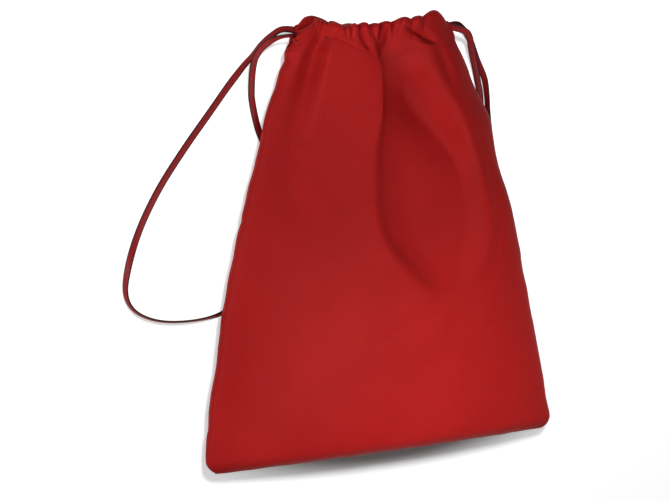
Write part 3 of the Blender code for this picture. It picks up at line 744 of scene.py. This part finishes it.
def neck_share(panel, u, y):
    """0 on the body, 1 from the casing's line up; the sides stay closed until just below it."""
    blend = mix(NECK_BLEND, SIDE_BLEND, np.abs(u) ** 6)
    line = mix(casing_line(panel, u), SIDE_CLOSED, np.abs(u) ** 12)
    return smoothstep((y - line + blend) / blend)


def body_rise(panel, u, y):
    """Distance of the cloth from the seam plane below the casing, without creases."""
    low = SEAM_GAP + SEAM_TURN
    if panel == FRONT:
        near_bottom = np.clip(1 - y / FULL_FROM_BOTTOM, 0.0, 1.0)
        roll = np.clip(1 - y / ROLL_HEIGHT, 0.0, 1.0)
        rise = FRONT_FULLNESS * mix(np.sqrt(1 - near_bottom ** 2), np.sqrt(1 - roll ** 2), ROLL_SHARE)
        flatten = smoothstep((y / LENGTH - FLATTEN_FROM) / FLATTEN_SPAN)
        rise = rise * mix(1.0, FRONT_NECK_RISE / FRONT_FULLNESS, flatten)
        return low + rise * (1 - np.abs(u) ** CROWN) ** CROWN_ROOT
    lift = BACK_NECK_LIFT * smoothstep((y / LENGTH - BACK_LIFT_FROM) / BACK_LIFT_SPAN)
    across = np.clip((np.abs(u) - REST_SHARE) / (1 - REST_SHARE), 0.0, 1.0) ** 2
    along = np.clip(1 - y / REST_FROM_BOTTOM, 0.0, 1.0) ** 2
    return low + (SEAM_HEIGHT - low - lift - BACK_CLEARANCE) * (1 - across) * (1 - along)


def even_rows(stretch, count, start=0.0, end=1.0):
    return [(stretch, start + (end - start) * (row + 1) / count) for row in range(count)]


def cloth_rows():
    """Rows of a panel from its bottom seam over the casing's fold to the stitches: a stretch and a share of it."""
    rows = [("turn", share) for share in TURN_SHARES]
    rows += even_rows("corner", CORNER_ROWS)
    rows += even_rows("body", BODY_ROWS - FINE_ROWS, end=FINE_FROM)
    rows += even_rows("body", FINE_ROWS, start=FINE_FROM)
    rows += even_rows("casing", CASING_ROWS)
    rows += even_rows("fold", FOLD_ROWS)
    rows += even_rows("flap", FLAP_ROWS)
    return rows


def cloth_row(panel, stretch, share, u):
    """One row of a panel's outer face: x, distance from the bottom, height."""
    radius = casing_depth(u) / 2
    line = casing_line(panel, u)
    shoulder = casing_top(panel, u) - radius
    inward = np.zeros_like(u)
    gather = 0.0
    ruffle = 0.0
    if stretch == "turn":
        y = np.zeros_like(u)
    elif stretch == "corner":
        y = np.full_like(u, CORNER_RADIUS * (1 - math.cos(share * math.pi / 2)))
    elif stretch == "body":
        y = mix(CORNER_RADIUS, line, share)
        inward = stitch_groove(panel, u, line - y)
    elif stretch == "casing":
        y = mix(line, shoulder, share)
        inward = stitch_groove(panel, u, line - y)
        gather = share ** GATHER_FADE
    elif stretch == "fold":
        turn = share * math.pi
        y = shoulder + radius * math.sin(turn)
        inward = radius * (1 - math.cos(turn))
        ruffle = RUFFLE * math.sin(turn)
        gather = math.cos(turn)
    else:
        y = mix(shoulder, line, share)
        closed = 2 * CLOTH + FLAP_CLEARANCE + 2 * STITCH_GROOVE
        closing = smoothstep((share - FLAP_CLOSES_FROM) / (1 - FLAP_CLOSES_FROM))
        inward = mix(casing_depth(u), closed, closing)
        gather = share - 1
    x = place_across(u, y)
    # The back has the front's gathers, mirrored about the neck's middle
    lumps = gather_lumps(x if panel == FRONT else 2 * NECK_SHIFT - x)
    y = y + ruffle * (lumps - RUFFLE_MIDDLE)
    base_y = np.minimum(y, shoulder)
    if stretch == "turn":
        rise = np.full_like(u, SEAM_GAP + SEAM_TURN * share)
    else:
        rise = mix(body_rise(panel, u, base_y), neck_rise(panel, u), neck_share(panel, u, base_y))
    rise = rise + GATHER_HEIGHT * gather * (lumps - 0.5) * (1 - u ** 8) - inward
    return np.stack([x, y, rise], axis=-1)


def seam_puckers(x, y, from_side, side):
    """Height of the front's small puckers along its bottom and side seams."""
    height, reach = BOTTOM_PUCKER
    bottom = height * np.exp(-y / reach) * ripple(x, 1.7 + FRONT) * np.clip(y / PUCKER_FADE, 0.0, 1.0)
    height, reach = SIDE_PUCKER
    flat = np.clip(from_side / PUCKER_FADE, 0.0, 1.0)
    return bottom + height * np.exp(-from_side / reach) * ripple(y, 0.4 + side + FRONT) * flat


def panel_grid(panel):
    """A panel's outer face as a grid of points in the row frame."""
    u = np.linspace(-1.0, 1.0, COLUMNS + 1)
    rows = cloth_rows()
    grid = np.array([cloth_row(panel, stretch, share, u) for stretch, share in rows])
    x, y, rise = grid[..., 0], grid[..., 1], grid[..., 2]
    inside = 1 - np.abs(u[None, :]) ** 8
    side = np.sign(u)[None, :]
    from_side = np.where(side < 0, side_reach(LEFT, y), side_reach(RIGHT, y)) - np.abs(x)
    if panel == FRONT:
        stretches = np.array([stretch for stretch, share in rows])[:, None]
        shares = np.array([share for stretch, share in rows])[:, None]
        on_fold = np.where(stretches == "fold", 0.5 + 0.5 * np.cos(np.pi * shares), 0.0)
        strength = np.where(np.isin(stretches, ("corner", "body", "casing")), 1.0, on_fold)
        rise = rise - all_creases(x, y) * inside * np.clip(y / CREASE_FADE, 0.0, 1.0)
        rise = rise + strength * seam_puckers(x, y, from_side, side)
    near_side = np.exp(-from_side / STRAY_REACH)
    amount = np.where(side < 0, SIDE_WAVE[LEFT], SIDE_WAVE[RIGHT])
    (first, rises_over), (last, falls_over) = SIDE_WAVE_FROM, SIDE_WAVE_TO
    amount = amount * smoothstep((y - first) / rises_over) * smoothstep((last - y) / falls_over)
    waves = ripple(y * SIDE_WAVE_PACE, 2.0 + side) * near_side
    x = x + side * waves * amount + side_stray(side, y) * near_side
    height, reach = BOTTOM_WAVE
    y = y + height * ripple(x * BOTTOM_WAVE_PACE, 0.9) * np.exp(-y / reach) * inside
    grid = np.stack([x, y - LENGTH / 2, SEAM_HEIGHT + panel * rise], axis=-1)
    return side_strips(panel, grid, rows)


def side_strips(panel, grid, rows):
    """Adds the last narrow strips at both sides, turned to the seam below the neck."""
    strips = {}
    for column, side in ((0, LEFT), (-1, RIGHT)):
        edge = grid[:, column]
        neck = smoothstep((edge[:, 1] + LENGTH / 2 - SIDE_CLOSED + SIDE_OPENS_OVER) / SIDE_OPENS_OVER)
        out = np.stack([side * SEAM_TURN * neck, 0 * neck, -panel * SEAM_TURN * (1 - neck)], axis=-1)
        for part in STRIP_SHARES:
            strip = edge + out * part
            for index, (stretch, share) in enumerate(rows):
                if stretch == "turn":
                    strip[index] = corner_rim(panel, side, share, part)
            strips[side, part] = strip[:, None]
    near, far = STRIP_SHARES
    parts = [strips[LEFT, far], strips[LEFT, near], grid, strips[RIGHT, near], strips[RIGHT, far]]
    return np.concatenate(parts, axis=1)


def corner_rim(panel, side, share, part):
    """A point of the turned seam where it starts round the bottom corner."""
    turn = math.radians(mix(*SEAM_CORNER_TURN, share)) * part
    full = SEAM_GAP + SEAM_TURN * share
    return (
        side * (side_reach(side, 0.0) + CORNER_RADIUS * math.sin(turn)),
        CORNER_RADIUS * (1 - math.cos(turn)) - LENGTH / 2,
        SEAM_HEIGHT + panel * mix(full, SEAM_GAP * 2, part),
    )


def cloth_mesh(name, grid, panel):
    """A closed sheet from its outer face: the inner face lies one cloth thickness below it."""
    rows, columns, _ = grid.shape
    across = np.gradient(grid, axis=1)
    along = np.gradient(grid, axis=0)
    normals = np.cross(across, along) * panel
    normals /= np.maximum(np.linalg.norm(normals, axis=2, keepdims=True), 1e-12)
    points = np.concatenate([grid.reshape(-1, 3), (grid - normals * CLOTH).reshape(-1, 3)])
    index = np.arange(rows * columns).reshape(rows, columns)
    a, b, c, d = index[:-1, :-1], index[:-1, 1:], index[1:, 1:], index[1:, :-1]
    outside = np.stack([a, b, c, d], axis=-1).reshape(-1, 4)
    inside = outside[:, ::-1] + rows * columns
    ring = np.concatenate([index[0], index[1:, -1], index[-1, -2::-1], index[-2:0:-1, 0]])
    after = np.roll(ring, -1)
    border = np.stack([after, ring, ring + rows * columns, after + rows * columns], axis=-1)
    faces = np.concatenate([outside, inside, border])
    if panel == BACK:
        faces = faces[:, ::-1]
    mesh = bpy.data.meshes.new(name)
    mesh.from_pydata(points.tolist(), [], faces.tolist())
    mesh.shade_smooth()
    mesh.validate()
    return mesh


def make_panel(name, panel):
    mesh = cloth_mesh(name + "_cloth", panel_grid(panel), panel)
    piece = add_piece(name + "_cloth", mesh, satin_material(name + "_satin"))
    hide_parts(name)


# Laces


def lace_in_casing(panel, u, lanes):
    """Centre of a lace in a casing; its lanes are the distances from the top fold at the left and right."""
    y = float(casing_top(panel, np.array([u]))[0]) - mix(*lanes, float(smoothstep(u / LANE_CHANGE + 0.5)))
    x = place_across(u, y)
    rise = neck_rise(panel, u) - casing_depth(u) / 2
    if panel == FRONT:
        rise -= float(all_creases(np.array([x]), np.array([y]))[0]) * (1 - u ** 8)
    return shift(x, y, SEAM_HEIGHT + panel * rise)


def smooth_points(route, step):
    """Points a step apart on a smooth curve through the route."""
    route = [Vector(point) for point in route]
    ends = [route[0] * 2 - route[1]] + route + [route[-1] * 2 - route[-2]]
    fine = []
    for before, start, end, after in zip(ends, ends[1:], ends[2:], ends[3:]):
        leave, arrive = (end - before) / 2, (after - start) / 2
        for t in (piece / CURVE_PIECES for piece in range(CURVE_PIECES)):
            point = start * (2 * t ** 3 - 3 * t ** 2 + 1) + leave * (t ** 3 - 2 * t ** 2 + t)
            fine.append(point + end * (3 * t ** 2 - 2 * t ** 3) + arrive * (t ** 3 - t ** 2))
    fine.append(route[-1])
    fine = np.array([tuple(point) for point in fine])
    run = np.concatenate(([0.0], np.cumsum(np.linalg.norm(np.diff(fine, axis=0), axis=1))))
    stations = np.linspace(0.0, run[-1], max(2, round(run[-1] / step)) + 1)
    return np.stack([np.interp(stations, run, fine[:, axis]) for axis in range(3)], axis=1), run[-1]


def lace_broads(points, tangents, leans, upright):
    """The direction of a lace's width at each point."""
    broads = []
    last = np.array((0.0, 1.0, 0.0))
    for tangent, lean in zip(tangents, leans):
        level = np.cross(tangent, (0.0, 0.0, 1.0))
        if upright or abs(tangent[2]) > STEEP:
            level = np.array((0.0, 1.0, 0.0)) - tangent * tangent[1]
        level /= np.linalg.norm(level)
        if level @ last < 0:
            level = -level
        last = level
        broads.append(level * math.cos(lean) + np.cross(tangent, level) * math.sin(lean))
    return np.array(broads)


def lace_mesh(name, points, leans, upright):
    """A flat lace with rounded edges, swept along its points; lean 0 lies flat, 1 stands on edge."""
    tangents = np.gradient(points, axis=0)
    tangents /= np.linalg.norm(tangents, axis=1)[:, None]
    broads = lace_broads(points, tangents, leans, upright)
    thins = np.cross(tangents, broads)
    turn = np.arange(LACE_SIDES) / LACE_SIDES * 2 * np.pi
    across = np.sign(np.cos(turn)) * np.abs(np.cos(turn)) ** LACE_ROUND[0] * LACE_WIDTH / 2
    thick = np.sign(np.sin(turn)) * np.abs(np.sin(turn)) ** LACE_ROUND[1] * LACE_THICKNESS / 2
    rings = points[:, None] + across[None, :, None] * broads[:, None] + thick[None, :, None] * thins[:, None]
    count = len(points)
    faces, shares = [], []
    for ring in range(count - 1):
        start, end = ring * LACE_STEP * LACE_UV_SCALE, (ring + 1) * LACE_STEP * LACE_UV_SCALE
        for side in range(LACE_SIDES):
            after = (side + 1) % LACE_SIDES
            low, high = ring * LACE_SIDES, (ring + 1) * LACE_SIDES
            faces.append((low + side, low + after, high + after, high + side))
            near, far = across[side] / LACE_WIDTH + 0.5, across[after] / LACE_WIDTH + 0.5
            shares += [(near, start), (far, start), (far, end), (near, end)]
    for ring, order in ((0, range(LACE_SIDES - 1, -1, -1)), (count - 1, range(LACE_SIDES))):
        faces.append(tuple(ring * LACE_SIDES + side for side in order))
        shares += [(0.0, 0.0)] * LACE_SIDES
    mesh = bpy.data.meshes.new(name)
    mesh.from_pydata(rings.reshape(-1, 3).tolist(), [], faces)
    layer = mesh.uv_layers.new(name="lace")
    layer.data.foreach_set("uv", np.array(shares, np.float32).ravel())
    mesh.shade_smooth()
    mesh.validate()
    turn_outward(mesh)
    return mesh


def turn_outward(mesh):
    """Turns a closed mesh right side out."""
    work = bmesh.new()
    work.from_mesh(mesh)
    bmesh.ops.recalc_face_normals(work, faces=work.faces)
    work.to_mesh(mesh)
    work.free()


def make_loop(side_name, loop, loop_side, lanes, front_in, edge_stretches, material):
    """A lace's free loop, from the back casing round to the front one."""
    start = lace_in_casing(BACK, loop_side * LOOP_START, lanes)
    end = lace_in_casing(FRONT, loop_side * front_in, lanes)
    route = [start] + [shift(*point) for point in loop] + [end]
    points, length = smooth_points(route, LACE_STEP)
    share = np.linspace(0.0, 1.0, len(points))
    leans = np.zeros(len(points))
    for middle, width, lean in edge_stretches:
        leans += lean * np.exp(-((share - middle) / width) ** 4)
    on_floor = points[:, 2] < LACE_LOW
    stand = np.abs(np.sin(leans)) * LACE_WIDTH / 2 + np.abs(np.cos(leans)) * LACE_THICKNESS / 2 + FLOOR_GAP
    points[:, 2] = np.where(on_floor, stand, np.maximum(points[:, 2], stand))
    mesh = lace_mesh(side_name + "_lace_loop", points, leans, False)
    piece = add_piece(side_name + "_lace_loop", mesh, material)
    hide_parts(side_name + "_drawcord")


def make_run(side_name, loop_side, lanes, front_in, material):
    """A lace's held run through the front casing, round the far end and back through the other casing."""
    turn_side = -loop_side
    there = np.linspace(loop_side * (front_in - RUN_OVERLAP), turn_side * LACE_TURN_SHARE, RUN_POINTS)
    back_again = np.linspace(turn_side * LACE_TURN_SHARE, loop_side * RUN_END, RUN_POINTS)
    run = [lace_in_casing(FRONT, u, lanes) for u in there]
    front_end, back_end = run[-1], lace_in_casing(BACK, back_again[0], lanes)
    out = Vector((turn_side, 0.0, 0.0)) * LACE_TURN
    run += [mix(front_end, back_end, share) + out * reach for share, reach in TURN_POINTS]
    run += [lace_in_casing(BACK, u, lanes) for u in back_again]
    points, _ = smooth_points(run, LACE_STEP)
    mesh = lace_mesh(side_name + "_lace_run", points, np.zeros(len(points)), True)
    add_piece(side_name + "_lace_run", mesh, material)


# Floor and light


def make_floor():
    """A wide pale floor that a camera sees as white, apart from an ellipse under the bottom edge that is left
    darker: the cast shadow, with painted shade around it.
    """
    mesh = bpy.data.meshes.new("floor")
    half = FLOOR_HALF
    corners = [(-half, -half, 0.0), (half, -half, 0.0), (half, half, 0.0), (-half, half, 0.0)]
    mesh.from_pydata(corners, [], [(0, 1, 2, 3)])
    floor = bpy.data.objects.new("floor", mesh)
    bpy.context.scene.collection.objects.link(floor)
    material = bpy.data.materials.new("floor_paper")
    nodes = Nodes(material)
    place = nodes.place()
    away = nodes.vector("SUBTRACT", "Vector", first=place, second=SHADOW_CENTRE)
    scaled = nodes.vector("DIVIDE", "Vector", first=away, second=SHADOW_HALF)
    near = nodes.vector("LENGTH", "Value", first=scaled)
    # painted shade: less white near the bottom edge, so the floor there stays darker even where it is lit
    lift = nodes.map_range(near, SHADOW_RISES_FROM, 1.0, *FLOOR_LIFT, kind="SMOOTHSTEP")
    far_lift = nodes.map_range(nodes.vector("LENGTH", "Value", first=place), *FLOOR_FAR, 0.0, FLOOR_FAR_LIFT)
    nodes.finish(
        "Principled BSDF",
        Base_Color=FLOOR_PALE,
        Roughness=0.9,
        Specular_IOR_Level=0.1,
        Emission_Color=WHITE,
        Emission_Strength=nodes.math("MULTIPLY", nodes.seen(), nodes.math("ADD", lift, far_lift)),
    )
    mesh.materials.append(material)
    return floor


def make_light(name, place, target, size, power, spread, floor, reach):
    """A square soft light, linked to the floor alone or to everything but the floor."""
    data = bpy.data.lights.new(name, "AREA")
    data.shape = "SQUARE"
    data.size = size
    data.energy = power
    data.spread = math.radians(spread)
    light = bpy.data.objects.new(name, data)
    light.location = place
    light.rotation_euler = (Vector(target) - Vector(place)).to_track_quat("-Z", "Y").to_euler()
    light.visible_camera = False
    bpy.context.scene.collection.objects.link(light)
    linked = bpy.data.collections.new(name + "_reach")
    linked.objects.link(floor)
    linked.collection_objects[0].light_linking.link_state = reach
    light.light_linking.receiver_collection = linked


def make_world():
    """A weak even light that a camera sees as white."""
    world = bpy.data.worlds.new("studio")
    bpy.context.scene.world = world
    nodes = Nodes(world)
    strength = nodes.math("MULTIPLY_ADD", nodes.seen(), 1.0 - WORLD_LEVEL, WORLD_LEVEL)
    nodes.finish("Background", Color=WHITE, Strength=strength)


make_camera()
for side_name, loop, loop_side, lanes, front_in, edge_stretches in LACES:
    leather = lace_material(side_name + "_lace_leather")
    make_loop(side_name, loop, loop_side, lanes, front_in, edge_stretches, leather)
    make_run(side_name, loop_side, lanes, front_in, leather)
make_panel("front_panel", FRONT)
make_panel("back_panel", BACK)
floor = make_floor()
make_world()
for name, place, target, size, power, spread, reach in LIGHTS:
    make_light(name, place, target, size, power, spread, floor, reach)

bpy.context.scene.view_settings.view_transform = "Standard"
